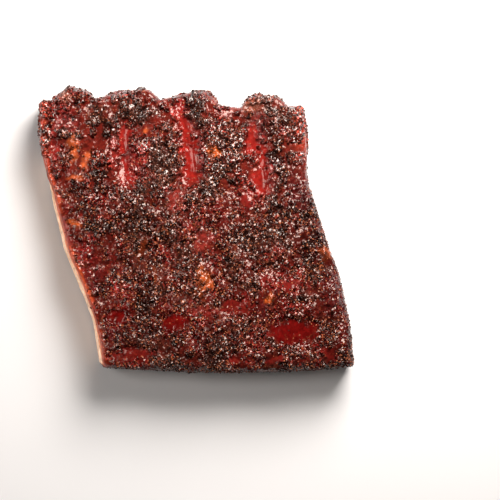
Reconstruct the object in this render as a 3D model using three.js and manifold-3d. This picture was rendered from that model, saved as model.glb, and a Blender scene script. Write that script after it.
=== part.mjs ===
import * as THREE from 'three';
import { mergeVertices } from 'three/addons/utils/BufferGeometryUtils.js';
import Module from 'manifold-3d';

// Half a rack of smoked pork ribs, lying bone side down. Millimetres, +Z up. The ribs run along Y,
// from the straight front cut to the thin back end, and +X runs across them. The origin is at the
// bottom, in the middle of the slab.

const { lerp, smoothstep, clamp } = THREE.MathUtils;

// Slab: thickness, the bow of the front cut, and the top edge of each side as [y, x] stations.
const frontThickness = 23.5;
const backThickness = 17;
const crownRise = 1.6;
const slabWidth = 127;
const slabLength = 128;
const frontCutY = -65.9;
const frontBow = 2.5;
const backLineY = 62.5;
const backLineFall = 2.6;
const backRaggedness = 0.6;
const backRaggedSize = 5;
const cornerRadius = 1.8;
const leftSide = [[-66, -44.2], [-46, -47.4], [-27, -54], [-9, -61.3], [16, -67.9], [38, -74.6], [64, -75.5]];
const rightSide = [[-66, 76.05], [-46, 74], [-24, 69.4], [0, 61.3], [24, 54.2], [40, 53.6], [64, 51.8]];

// Rib bones: place across the slab (0 left, 1 right), and the lobe by which each end pushes the back
// edge out: its reach, and its half width and bluntness to the left and right (1 is a straight slope).
// Each bone ends a little short of its lobe.
const ribs = [
  { place: 0.13, lobeReach: 6.5, left: { half: 10.2, blunt: 3 }, right: { half: 8.6, blunt: 3.2 }, short: 1.6 },
  { place: 0.37, lobeReach: 5.5, left: { half: 26, blunt: 1.3 }, right: { half: 10.8, blunt: 3 }, short: 0.8 },
  { place: 0.596, lobeReach: 4.7, left: { half: 20, blunt: 1.2 }, right: { half: 11, blunt: 3 }, short: 0.8 },
  { place: 0.856, lobeReach: 5.9, left: { half: 12, blunt: 3 }, right: { half: 10.6, blunt: 2.4 }, short: 1.6 },
];
const boneHalfWidth = 5.7;
const boneHalfHeight = 3.6;
const boneAxisHeight = 7.4;
const boneArch = 1.4;
const frontProud = 0.2;
const boneSteps = 10;
const boneSides = 12;
const tunnelGap = 0.3;
const tunnelOverrun = 1 / boneSteps;

// Valleys beside the ribs, where the meat has sunk and glaze lies smooth: place across the slab,
// and how far forward each runs (0 front, 1 back).
const valleys = [
  { place: 0.307, from: 0.7 },
  { place: 0.547, from: 0.68 },
  { place: 0.807, from: 0.63 },
];
const valleyDepth = 1.0;
const valleyHalf = 5.2;
const flankDepth = 1.0;
const flankHalf = 9.5;
const valleyTrace = 0.22;

// Pools of glaze that lie smooth and a little low: centre x, y and half sizes.
const pools = [
  { x: 48, y: -49.5, halfX: 20, halfY: 9.5 },
  { x: 3, y: -5, halfX: 9, halfY: 8 },
  { x: -31, y: -60, halfX: 13, halfY: 6 },
  { x: -9, y: -46, halfX: 10, halfY: 7.5 },
  { x: -38, y: -42, halfX: 7, halfY: 5 },
  { x: -62, y: 53, halfX: 7, halfY: 5 },
];
const poolDepth = 0.4;

// A swell of meat beside the first valley: centre, half sizes and height.
const swells = [{ x: -42.6, y: 37, halfX: 3.2, halfY: 11, height: 1.1 }];

// Bark: lumps, raised crusts of char, and coarse crumbs of cracked pepper fused to it.
const lumps = [
  { size: 15, height: 1.0 },
  { size: 6.5, height: 0.7 },
];
const crustSize = 11;
const crustHeight = 0.9;
const crumbSpacing = 8.3;
const crumbSmall = 1.0;
const crumbLarge = 1.9;
const crumbMargin = 5;
const crumbLift = 0.05;
const crumbSeed = 41;

// Edges: shoulder radius at the top, lean of each wall, and the tuck at the foot.
const leftShoulder = 1.6;
const rightShoulder = 4.6;
const frontShoulder = 4.4;
const backShoulder = 3.6;
const cutLean = 4.3;
const cutLeanAtBack = 0.6;
const frontLean = 0.6;
const footTuck = 1.4;
const footTuckPower = 8;
const wallRelief = 0.5;

// Underside: a flat strip under each rib, and shallow channels between the strips.
const footHalf = 6.6;
const channelDepth = 1.5;
const channelSlope = 3.5;

// Mesh density: the underside has half the rows and columns of the top.
const coarseStep = 6.2;
const fineRing = 0.16;
const coarseRings = [0.38, 0.6, 0.8, 0.93, 1];

function hash(i, j, seed) {
  const wave = Math.sin(i * 127.1 + j * 311.7 + seed * 74.7) * 43758.5453;
  return 2 * (wave - Math.floor(wave)) - 1;
}

// Smooth noise from -1 to 1 on a unit lattice.
function noise(u, v, seed) {
  const i = Math.floor(u);
  const j = Math.floor(v);
  const a = smoothstep(u - i, 0, 1);
  const b = smoothstep(v - j, 0, 1);
  const low = lerp(hash(i, j, seed), hash(i + 1, j, seed), a);
  const high = lerp(hash(i, j + 1, seed), hash(i + 1, j + 1, seed), a);
  return lerp(low, high, b);
}

// x of a side at y: a smooth curve through its stations.
function sideAt(stations, y) {
  const last = stations.length - 2;
  let k = 0;
  while (k < last && y > stations[k + 1][0]) k += 1;
  const [y0, x0] = stations[k];
  const [y1, x1] = stations[k + 1];
  const before = stations[Math.max(k - 1, 0)];
  const after = stations[Math.min(k + 2, stations.length - 1)];
  const span = y1 - y0;
  const startSlope = (x1 - before[1]) / (y1 - before[0]);
  const endSlope = (after[1] - x0) / (after[0] - y0);
  const s = clamp((y - y0) / span, 0, 1);
  const rise = s * s * (3 - 2 * s);
  const startPart = s * (1 - s) * (1 - s) * span * startSlope;
  const endPart = s * s * (1 - s) * span * endSlope;
  return lerp(x0, x1, rise) + startPart - endPart;
}

function roundedCorner(across) {
  const inset = Math.min(across, 1 - across) * slabWidth;
  const short = Math.max(cornerRadius - inset, 0);
  return cornerRadius - Math.sqrt(cornerRadius ** 2 - short ** 2);
}

function frontEdge(across) {
  return frontCutY - frontBow * Math.sin(Math.PI * across) + roundedCorner(across);
}

// Back edge: each rib end pushes out a rounded lobe, some with a long slope to the left.
function backEdge(across) {
  let y = backLineY - backLineFall * smoothstep(across, 0.62, 0.7) - roundedCorner(across);
  y += backRaggedness * noise(across * slabWidth / backRaggedSize, 0.5, 13);
  for (const rib of ribs) {
    const aside = (across - rib.place) * slabWidth;
    const flank = aside < 0 ? rib.left : rib.right;
    y += rib.lobeReach * (1 - Math.min(Math.abs(aside) / flank.half, 1) ** flank.blunt);
  }
  return y;
}

// Plan position at depth 0 (top) to 1 (foot): the walls lean out, and tuck in again at the foot.
function planPoint(across, along, depth) {
  const tuck = footTuck * depth ** footTuckPower;
  const front = frontEdge(across) - frontLean * depth + tuck;
  const y = lerp(front, backEdge(across) - tuck, along);
  const lean = lerp(cutLean, cutLeanAtBack, smoothstep(along, 0.6, 0.8));
  const left = sideAt(leftSide, y) - lean * depth + tuck;
  const right = sideAt(rightSide, y) - tuck;
  return { x: lerp(left, right, across), y };
}

function shoulderDrop(distance, radius) {
  const short = Math.max(radius - distance, 0);
  return radius - Math.sqrt(radius ** 2 - short ** 2);
}

// 1 in a pool or on a valley floor, 0 on bark.
function glazeSmoothness(across, along, x, y) {
  let smooth = 0;
  for (const pool of pools) {
    const reach = Math.hypot((x - pool.x) / pool.halfX, (y - pool.y) / pool.halfY);
    smooth = Math.max(smooth, 1 - smoothstep(reach, 0.6, 1.1));
  }
  for (const valley of valleys) {
    const aside = Math.abs(across - valley.place) * slabWidth / valleyHalf;
    smooth = Math.max(smooth, (1 - smoothstep(aside, 0.5, 1.1)) * valleyFade(valley, along));
  }
  return smooth;
}

function valleyFade(valley, along) {
  const start = smoothstep(along, valley.from - 0.06, valley.from + 0.05);
  const end = 1 - 0.8 * smoothstep(along, 0.88, 0.97);
  return start * end;
}

function barkHeight(x, y) {
  const crust = noise(x / crustSize, y / crustSize, 5);
  let height = crustHeight * smoothstep(crust, 0.15, 0.4);
  lumps.forEach(({ size, height: rise }, n) => {
    height += rise * noise(x / size, y / size, n + 1);
  });
  return height;
}

function topHeight(across, along) {
  const { x, y } = planPoint(across, along, 0);
  let z = lerp(frontThickness, backThickness, along ** 1.3);
  z += crownRise * (1 - (2 * across - 1) ** 2);
  for (const valley of valleys) {
    const aside = (across - valley.place) * slabWidth;
    const groove = valleyDepth * Math.exp(-((aside / valleyHalf) ** 2));
    const flank = flankDepth * Math.exp(-((aside / flankHalf) ** 2));
    z -= groove * valleyFade(valley, along);
    z -= flank * lerp(valleyTrace, 1, smoothstep(along, valley.from - 0.25, valley.from + 0.1));
  }
  for (const swell of swells) {
    z += swell.height * Math.exp(-(((x - swell.x) / swell.halfX) ** 2) - ((y - swell.y) / swell.halfY) ** 4);
  }
  const smooth = glazeSmoothness(across, along, x, y);
  z += barkHeight(x, y) * (1 - 0.75 * smooth) - poolDepth * smooth;
  const drops = [
    shoulderDrop(across * slabWidth, leftShoulder),
    shoulderDrop((1 - across) * slabWidth, rightShoulder),
    shoulderDrop(along * slabLength, frontShoulder),
    shoulderDrop((1 - along) * slabLength, backShoulder),
  ];
  return z - Math.hypot(...drops);
}

function footHeight(across) {
  const aside = Math.min(...ribs.map((rib) => Math.abs(across - rib.place) * slabWidth));
  return channelDepth * smoothstep(aside, footHalf, footHalf + channelSlope);
}

function surfacePoint(across, along, depth) {
  const { x, y } = planPoint(across, along, depth);
  const z = lerp(topHeight(across, along), footHeight(across), depth);
  return new THREE.Vector3(x, y, z);
}

// Even stops from 0 to 1 that keep to the given anchors.
function coarseStops(anchors, size) {
  const stops = [0];
  for (let k = 1; k < anchors.length; k += 1) {
    const gap = anchors[k] - anchors[k - 1];
    const count = Math.max(1, Math.round(gap * size / coarseStep));
    for (let n = 1; n <= count; n += 1) stops.push(anchors[k - 1] + gap * n / count);
  }
  return stops;
}

function halved(stops) {
  return stops.flatMap((stop, k) => (k === 0 ? [stop] : [(stops[k - 1] + stop) / 2, stop]));
}

// The border of a grid of stops, counterclockwise from its front left corner.
function borderOf(columns, rows) {
  const border = [];
  const right = columns.length - 1;
  const back = rows.length - 1;
  for (let i = 0; i < right; i += 1) border.push([i, 0]);
  for (let j = 0; j < back; j += 1) border.push([right, j]);
  for (let i = right; i > 0; i -= 1) border.push([i, back]);
  for (let j = back; j > 0; j -= 1) border.push([0, j]);
  return border;
}

function slabGeometry() {
  const ribSides = ribs.map((rib) => rib.place + boneHalfWidth / slabWidth);
  const anchors = [0, ...ribSides, ...valleys.map((valley) => valley.place), 1].sort((a, b) => a - b);
  const columns = coarseStops(anchors, slabWidth);
  const rows = coarseStops([0, 1], slabLength);
  const fineColumns = halved(columns);
  const fineRows = halved(rows);
  const positions = [];
  const triangles = [];

  const addPoint = (point) => positions.push(point.x, point.y, point.z) / 3 - 1;

  const addGrid = (across, along, depth) => across.map(
    (a) => along.map((b) => addPoint(surfacePoint(a, b, depth))),
  );

  // Two triangles for each square, turned to face up or down.
  const addSquares = (grid, faceUp) => {
    for (let i = 1; i < grid.length; i += 1) {
      for (let j = 1; j < grid[i].length; j += 1) {
        const [a, b, c, d] = [grid[i - 1][j - 1], grid[i][j - 1], grid[i][j], grid[i - 1][j]];
        const split = (i + j) % 2 ? [a, b, c, a, c, d] : [b, c, d, b, d, a];
        triangles.push(...(faceUp ? split : split.reverse()));
      }
    }
  };

  // A ring of wall points, pushed in and out by low relief that dies out at the top and foot.
  const addRing = (across, along, depth) => {
    const border = borderOf(across, along);
    const ring = border.map(([i, j]) => surfacePoint(across[i], along[j], depth));
    const swell = wallRelief * Math.sin(Math.PI * depth);
    return ring.map((point, k) => {
      const before = ring[(k + ring.length - 1) % ring.length];
      const after = ring[(k + 1) % ring.length];
      const outward = new THREE.Vector3(after.y - before.y, before.x - after.x, 0).normalize();
      const relief = swell * noise((point.x + point.y) / 6, point.z / 3.5, 9);
      return addPoint(point.clone().addScaledVector(outward, relief));
    });
  };

  const joinRings = (upper, lower) => {
    upper.forEach((from, k) => {
      const next = (k + 1) % upper.length;
      triangles.push(lower[k], lower[next], upper[next], lower[k], upper[next], from);
    });
  };

  // Three triangles for each coarse edge, which spans two fine ones.
  const joinToCoarse = (fine, coarse) => {
    coarse.forEach((from, k) => {
      const to = coarse[(k + 1) % coarse.length];
      const middle = fine[2 * k + 1];
      const end = fine[(2 * k + 2) % fine.length];
      triangles.push(from, middle, fine[2 * k], from, to, middle, to, end, middle);
    });
  };

  const top = addGrid(fineColumns, fineRows, 0);
  const foot = addGrid(columns, rows, 1);
  addSquares(top, true);
  addSquares(foot, false);
  const topBorder = borderOf(fineColumns, fineRows).map(([i, j]) => top[i][j]);
  const footBorder = borderOf(columns, rows).map(([i, j]) => foot[i][j]);
  const fineWall = addRing(fineColumns, fineRows, fineRing);
  const coarseWalls = coarseRings.slice(0, -1).map((depth) => addRing(columns, rows, depth));
  joinRings(topBorder, fineWall);
  joinToCoarse(fineWall, coarseWalls[0]);
  [...coarseWalls, footBorder].reduce((upper, lower) => {
    joinRings(upper, lower);
    return lower;
  });

  const geometry = new THREE.BufferGeometry();
  geometry.setAttribute('position', new THREE.Float32BufferAttribute(positions, 3));
  geometry.setIndex(triangles);
  return geometry;
}

// The middle line of a rib bone: it follows its place across the slab, a little higher in the middle,
// and runs straight on past either end of the slab.
class RibLine extends THREE.Curve {
  constructor(rib, from, to) {
    super();
    Object.assign(this, { rib, from, to });
  }

  getPoint(t, target = new THREE.Vector3()) {
    const along = lerp(this.from, this.to, t);
    const inside = clamp(along, 0, 1);
    const { x, y } = planPoint(this.rib.place, inside, 0.5);
    const beyond = (along - inside) * slabLength;
    return target.set(x, y + beyond, boneAxisHeight + boneArch * Math.sin(Math.PI * inside));
  }

  getPointAt(t, target) {
    return this.getPoint(t, target);
  }

  // Frames that keep every section upright and in line with the front cut.
  computeFrenetFrames(segments) {
    const fill = (vector) => Array.from({ length: segments + 1 }, () => vector);
    return {
      tangents: fill(new THREE.Vector3(0, 1, 0)),
      normals: fill(new THREE.Vector3(-1, 0, 0)),
      binormals: fill(new THREE.Vector3(0, 0, 1)),
    };
  }
}

function boneGeometry(line, steps, grow) {
  const section = new THREE.Shape();
  for (let n = 0; n < boneSides; n += 1) {
    const angle = 2 * Math.PI * n / boneSides;
    const width = (boneHalfWidth + grow) * Math.cos(angle);
    const height = (boneHalfHeight + grow) * Math.sin(angle);
    if (n === 0) section.moveTo(width, height);
    else section.lineTo(width, height);
  }
  section.closePath();
  return new THREE.ExtrudeGeometry(section, { steps, extrudePath: line });
}

// Crumbs of cracked pepper: one in each cell of an even grid, wherever the bark isn't smooth with glaze.
function crumbGeometries() {
  let state = crumbSeed;
  const random = () => {
    state = (state * 16807) % 2147483647;
    return state / 2147483647;
  };
  const crumbs = [];
  const columnCount = Math.floor((slabWidth - 2 * crumbMargin) / crumbSpacing);
  const rowCount = Math.floor((slabLength - 2 * crumbMargin) / crumbSpacing);
  for (let i = 0; i < columnCount; i += 1) {
    for (let j = 0; j < rowCount; j += 1) {
      const left = crumbMargin + (i + 0.2 + 0.6 * random()) * crumbSpacing;
      const front = crumbMargin + (j + 0.2 + 0.6 * random()) * crumbSpacing;
      const radius = lerp(crumbSmall, crumbLarge, random() ** 2);
      const turn = 2 * Math.PI * random();
      const stretch = lerp(0.75, 1.25, random());
      const across = left / slabWidth;
      const along = front / slabLength;
      const { x, y } = planPoint(across, along, 0);
      if (glazeSmoothness(across, along, x, y) > 0.2) continue;
      const crumb = new THREE.OctahedronGeometry(radius, 0);
      crumb.scale(stretch, 1 / stretch, 1);
      crumb.rotateX(turn);
      crumb.rotateZ(2 * turn);
      crumb.translate(x, y, topHeight(across, along) + crumbLift * radius);
      crumbs.push(crumb);
    }
  }
  return crumbs;
}

const wasm = await Module();
wasm.setup();

function toSolid(geometry) {
  const bare = geometry.clone();
  bare.deleteAttribute('normal');
  bare.deleteAttribute('uv');
  const merged = mergeVertices(bare, 1e-4);
  const vertProperties = new Float32Array(merged.attributes.position.array);
  const triVerts = new Uint32Array(merged.index.array);
  return new wasm.Manifold(new wasm.Mesh({ numProp: 3, vertProperties, triVerts }));
}

function toGeometry(solid) {
  const mesh = solid.getMesh();
  const geometry = new THREE.BufferGeometry();
  geometry.setAttribute('position', new THREE.Float32BufferAttribute(mesh.vertProperties, 3));
  geometry.setIndex(new THREE.Uint32BufferAttribute(mesh.triVerts, 1));
  geometry.computeVertexNormals();
  return geometry;
}

const rack = new THREE.Group();

const barkFinish = new THREE.MeshStandardMaterial({ color: '#6a2c27', roughness: 0.35, metalness: 0 });
let meatSolid = toSolid(slabGeometry());
for (const crumb of crumbGeometries()) meatSolid = meatSolid.add(toSolid(crumb));
for (const rib of ribs) {
  const line = new RibLine(rib, -tunnelOverrun, 1 + tunnelOverrun);
  meatSolid = meatSolid.subtract(toSolid(boneGeometry(line, boneSteps + 2, tunnelGap)));
}
const meat = new THREE.Mesh(toGeometry(meatSolid), barkFinish);
meat.name = 'meat';
rack.add(meat);

const boneFinish = new THREE.MeshStandardMaterial({ color: '#c9a783', roughness: 0.6, metalness: 0 });
ribs.forEach((rib, n) => {
  const line = new RibLine(rib, -frontProud / slabLength, 1 - rib.short / slabLength);
  const bone = new THREE.Mesh(boneGeometry(line, boneSteps, 0), boneFinish);
  bone.name = `rib_bone_${n + 1}`;
  rack.add(bone);
});

export default rack;
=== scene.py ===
# Half a rack of smoked pork ribs, bone side down: bark, glaze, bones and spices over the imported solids.
from functools import partial

import bpy
import numpy as np
from mathutils import Matrix, Vector


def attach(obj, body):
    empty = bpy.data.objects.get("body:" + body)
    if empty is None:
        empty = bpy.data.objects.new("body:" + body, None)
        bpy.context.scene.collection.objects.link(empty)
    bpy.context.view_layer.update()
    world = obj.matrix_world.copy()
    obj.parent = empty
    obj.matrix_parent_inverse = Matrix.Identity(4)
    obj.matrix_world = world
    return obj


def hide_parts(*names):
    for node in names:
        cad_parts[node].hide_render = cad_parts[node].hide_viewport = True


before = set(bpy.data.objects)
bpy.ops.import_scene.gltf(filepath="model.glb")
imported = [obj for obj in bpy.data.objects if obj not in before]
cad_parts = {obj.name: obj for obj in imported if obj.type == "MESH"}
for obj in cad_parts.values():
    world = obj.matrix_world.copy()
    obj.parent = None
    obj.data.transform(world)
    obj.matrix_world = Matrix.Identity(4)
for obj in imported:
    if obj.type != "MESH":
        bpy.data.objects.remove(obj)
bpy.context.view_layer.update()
body = "root"
mm = 0.001
print("frame loaded with", len(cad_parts), "nodes")

# The slab's own form, in millimetres or as shares of its width and length, as its solid has it.
slab = {
    "frontThickness": 23.5, "backThickness": 17, "thinningPower": 1.3, "crownRise": 1.6,
    "width": 127, "length": 128, "cornerRadius": 1.8,
    "frontCutY": -65.9, "frontBow": 2.5, "frontLean": 0.6,
    "backLineY": 62.5, "backLineFall": 2.6, "backFallAt": (0.62, 0.7),
    "backRaggedness": 0.6, "backRaggedSize": 5,
    # top edge of each side, as (y, x) stations
    "leftSide": [
        (-66, -44.2), (-46, -47.4), (-27, -54), (-9, -61.3), (16, -67.9), (38, -74.6), (64, -75.5)],
    "rightSide": [(-66, 76.05), (-46, 74), (-24, 69.4), (0, 61.3), (24, 54.2), (40, 53.6), (64, 51.8)],
    "valleyDepth": 1.0, "valleyHalf": 5.2, "valleyFloor": (0.5, 1.1), "valleyStart": (-0.06, 0.05),
    "valleyEnd": (0.88, 0.97), "valleyEndLoss": 0.8,
    "flankDepth": 1.0, "flankHalf": 9.5, "valleyTrace": 0.22,
    "traceRise": (0.25, 0.1),  # before and after a valley's start
    "poolDepth": 0.4, "poolEdge": (0.6, 1.1), "poolCalm": 0.75,
    "crustSize": 11, "crustHeight": 0.9, "crustEdge": (0.15, 0.4),
    "leftShoulder": 1.6, "rightShoulder": 4.6, "frontShoulder": 4.4, "backShoulder": 3.6,
    "cutLean": 4.3, "cutLeanAtBack": 0.6, "cutLeanFades": (0.6, 0.8),
    "footTuck": 1.4, "footTuckPower": 8,
    "wallRelief": 0.5, "wallReliefSize": (6, 3.5),
    "channelDepth": 1.5, "channelSide": (6.6, 10.1),  # its side starts and ends so far from a rib
    "rim": 1e-6,  # a point this near the end of a side stands over its wall
}
# A lobe's half width and bluntness to the left and right. Each bone ends a little short of its lobe.
ribs = [
    {"place": 0.13, "lobeReach": 6.5, "left": (10.2, 3), "right": (8.6, 3.2), "short": 1.6},
    {"place": 0.37, "lobeReach": 5.5, "left": (26, 1.3), "right": (10.8, 3), "short": 0.8},
    {"place": 0.596, "lobeReach": 4.7, "left": (20, 1.2), "right": (11, 3), "short": 0.8},
    {"place": 0.856, "lobeReach": 5.9, "left": (12, 3), "right": (10.6, 2.4), "short": 1.6},
]
valleys = [{"place": 0.307, "from": 0.7}, {"place": 0.547, "from": 0.68}, {"place": 0.807, "from": 0.63}]
pools = [  # centre, half sizes
    (48, -49.5, 20, 9.5), (3, -5, 9, 8), (-31, -60, 13, 6), (-9, -46, 10, 7.5), (-38, -42, 7, 5),
    (-62, 53, 7, 5)]
lumps = [(15, 1.0), (6.5, 0.7)]  # size, height
swells = [(-42.6, 37, 3.2, 11, 1.1)]  # centre, half sizes, height


def smoothStep(value, low, high):
    t = np.clip((value - low) / (high - low), 0, 1)
    return t * t * (3 - 2 * t)


def mix(low, high, share):
    return low + (high - low) * share


def linearColour(text):
    # sRGB hex to linear light
    parts = np.array([int(text[k:k + 2], 16) / 255 for k in (1, 3, 5)])
    return np.where(parts <= 0.04045, parts / 12.92, ((parts + 0.055) / 1.055) ** 2.4)


def latticeHash(i, j, seed):
    wave = np.sin(i * 127.1 + j * 311.7 + seed * 74.7) * 43758.5453
    return 2 * (wave - np.floor(wave)) - 1


def planNoise(u, v, seed):
    # smooth noise from -1 to 1 on a unit lattice, as the solid's bark has it
    i = np.floor(u)
    j = np.floor(v)
    a = smoothStep(u - i, 0, 1)
    b = smoothStep(v - j, 0, 1)
    low = mix(latticeHash(i, j, seed), latticeHash(i + 1, j, seed), a)
    high = mix(latticeHash(i, j + 1, seed), latticeHash(i + 1, j + 1, seed), a)
    return mix(low, high, b)


def evenNoise(x, y, size, seed):
    return planNoise(x / size, y / size, seed)


def spaceNoise(points, size, seed):
    # the same in three directions: layers of plan noise, blended
    u, v, w = (points / size).T
    layer = np.floor(w)
    rise = smoothStep(w - layer, 0, 1)
    return mix(planNoise(u + layer * 17.3, v - layer * 9.1, seed),
               planNoise(u + (layer + 1) * 17.3, v - (layer + 1) * 9.1, seed), rise)


def sideAt(stations, y):
    # x of a side at y: a smooth curve through its stations
    ys, xs = np.array(stations, float).T
    k = np.clip(np.searchsorted(ys, y, side="left") - 1, 0, len(ys) - 2)
    before = np.maximum(k - 1, 0)
    after = np.minimum(k + 2, len(ys) - 1)
    span = ys[k + 1] - ys[k]
    startSlope = (xs[k + 1] - xs[before]) / (ys[k + 1] - ys[before])
    endSlope = (xs[after] - xs[k]) / (ys[after] - ys[k])
    s = np.clip((y - ys[k]) / span, 0, 1)
    startPart = s * (1 - s) ** 2 * span * startSlope
    endPart = s * s * (1 - s) * span * endSlope
    return mix(xs[k], xs[k + 1], s * s * (3 - 2 * s)) + startPart - endPart


def shoulderDrop(distance, radius):
    short = np.maximum(radius - distance, 0)
    return radius - np.sqrt(radius ** 2 - short ** 2)


def cornerDrop(across):
    return shoulderDrop(np.minimum(across, 1 - across) * slab["width"], slab["cornerRadius"])


def backEdge(across):
    y = slab["backLineY"] - slab["backLineFall"] * smoothStep(across, *slab["backFallAt"])
    y = y - cornerDrop(across)
    y = y + slab["backRaggedness"] * planNoise(across * slab["width"] / slab["backRaggedSize"], 0.5, 13)
    for rib in ribs:
        aside = (across - rib["place"]) * slab["width"]
        half = np.where(aside < 0, rib["left"][0], rib["right"][0])
        blunt = np.where(aside < 0, rib["left"][1], rib["right"][1])
        y = y + rib["lobeReach"] * (1 - np.minimum(np.abs(aside) / half, 1) ** blunt)
    return y


def planPoint(across, along, depth):
    # x and y of a point: across from left to right, along from front to back, depth from top to foot
    tuck = slab["footTuck"] * depth ** slab["footTuckPower"]
    front = slab["frontCutY"] - slab["frontBow"] * np.sin(np.pi * across) + cornerDrop(across)
    y = mix(front - slab["frontLean"] * depth + tuck, backEdge(across) - tuck, along)
    lean = mix(slab["cutLean"], slab["cutLeanAtBack"], smoothStep(along, *slab["cutLeanFades"]))
    left = sideAt(slab["leftSide"], y) - lean * depth + tuck
    right = sideAt(slab["rightSide"], y) - tuck
    return mix(left, right, across), y


def valleyFade(valley, along):
    start = smoothStep(along - valley["from"], *slab["valleyStart"])
    return start * (1 - slab["valleyEndLoss"] * smoothStep(along, *slab["valleyEnd"]))


def poolSmoothness(across, along, x, y):
    # 1 in a pool or on a valley floor, 0 on bark
    smooth = np.zeros_like(x)
    for poolX, poolY, halfX, halfY in pools:
        reach = np.hypot((x - poolX) / halfX, (y - poolY) / halfY)
        smooth = np.maximum(smooth, 1 - smoothStep(reach, *slab["poolEdge"]))
    for valley in valleys:
        aside = np.abs(across - valley["place"]) * slab["width"] / slab["valleyHalf"]
        onFloor = 1 - smoothStep(aside, *slab["valleyFloor"])
        smooth = np.maximum(smooth, onFloor * valleyFade(valley, along))
    return smooth


def topHeight(across, along):
    x, y = planPoint(across, along, 0)
    z = mix(slab["frontThickness"], slab["backThickness"], along ** slab["thinningPower"])
    z = z + slab["crownRise"] * (1 - (2 * across - 1) ** 2)
    for valley in valleys:
        aside = (across - valley["place"]) * slab["width"]
        valleyShape = np.exp(-((aside / slab["valleyHalf"]) ** 2))
        z = z - slab["valleyDepth"] * valleyShape * valleyFade(valley, along)
        before, after = slab["traceRise"]
        risen = smoothStep(along, valley["from"] - before, valley["from"] + after)
        trace = mix(slab["valleyTrace"], 1, risen)
        z = z - slab["flankDepth"] * np.exp(-((aside / slab["flankHalf"]) ** 2)) * trace
    crust = evenNoise(x, y, slab["crustSize"], 5)
    bark = slab["crustHeight"] * smoothStep(crust, *slab["crustEdge"])
    for n, (size, height) in enumerate(lumps):
        bark = bark + height * evenNoise(x, y, size, n + 1)
    smooth = poolSmoothness(across, along, x, y)
    for swellX, swellY, halfX, halfY, height in swells:
        z = z + height * np.exp(-(((x - swellX) / halfX) ** 2) - ((y - swellY) / halfY) ** 4)
    z = z + bark * (1 - slab["poolCalm"] * smooth) - slab["poolDepth"] * smooth
    drops = [
        shoulderDrop(across * slab["width"], slab["leftShoulder"]),
        shoulderDrop((1 - across) * slab["width"], slab["rightShoulder"]),
        shoulderDrop(along * slab["length"], slab["frontShoulder"]),
        shoulderDrop((1 - along) * slab["length"], slab["backShoulder"]),
    ]
    return z - np.sqrt(sum(drop ** 2 for drop in drops))


def footHeight(across):
    # the underside: flat under each rib, with shallow channels between
    aside = np.min([np.abs(across - rib["place"]) * slab["width"] for rib in ribs], axis=0)
    return slab["channelDepth"] * smoothStep(aside, *slab["channelSide"])


def surfacePoints(across, along, depth):
    # points of one depth, and what each was made from
    x, y = planPoint(across, along, depth)
    z = mix(topHeight(across, along), footHeight(across), depth)
    params = np.stack([across, along, np.full_like(across, depth)], -1)
    return np.stack([x, y, z], -1).reshape(-1, 3), params.reshape(-1, 3)


# How fine the slab's mesh is, and the grit that its bark has on top of the solid's form.
slabMesh = {
    "step": 0.6, "edgeStep": 0.25, "stepGrowth": 0.08, "wallStep": 0.95,
    # size, stretch, height, seed
    "crinkles": [(5.2, 1.3, 0.75, 24), (3.3, 1.4, 0.6, 25), (2.0, 1.4, 0.3, 26)],
    "grit": [(4.4, 0.3, 20), (2.7, 0.22, 21), (1.5, 0.16, 22)],  # size, height, seed
    "fibre": [(7.0, 1.3, 0.22, 31), (3.0, 0.7, 0.12, 32)],  # length, width, height, seed
    "crusts": [(7.0, 0.6, 55), (3.3, 0.6, 56), (1.6, 0.35, 57)],  # size, share, seed
    "crustEdge": (-0.27, 0.15), "crustRise": 0.8,
    # painted shade in the relief's hollows and painted light on its peaks, as factors on the colour
    "hollowDepth": 0.4, "hollowPaintedShade": 0.65, "peakPaintedLight": 1.2,
}


def edgeStops(size):
    # stops from 0 to 1 that lie closer near both ends, where the shoulders bend
    gaps = []
    reach = 0
    while reach < size / 2 or len(gaps) % 2:
        gap = min(slabMesh["edgeStep"] + slabMesh["stepGrowth"] * reach, slabMesh["step"])
        gaps.append(gap)
        reach += gap
    return np.concatenate([[0], np.cumsum(gaps + gaps[::-1])]) / (2 * reach)


def borderOf(columns, rows):
    # indices round a grid, counterclockwise from its front left corner
    right = columns - 1
    back = rows - 1
    border = [(i, 0) for i in range(right)] + [(right, j) for j in range(back)]
    border += [(i, back) for i in range(right, 0, -1)] + [(0, j) for j in range(back, 0, -1)]
    return np.array(border)


def ringFaces(near, far):
    # quads from one ring of points to the next
    return np.stack([near, np.roll(near, -1), np.roll(far, -1), far], -1)


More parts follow.
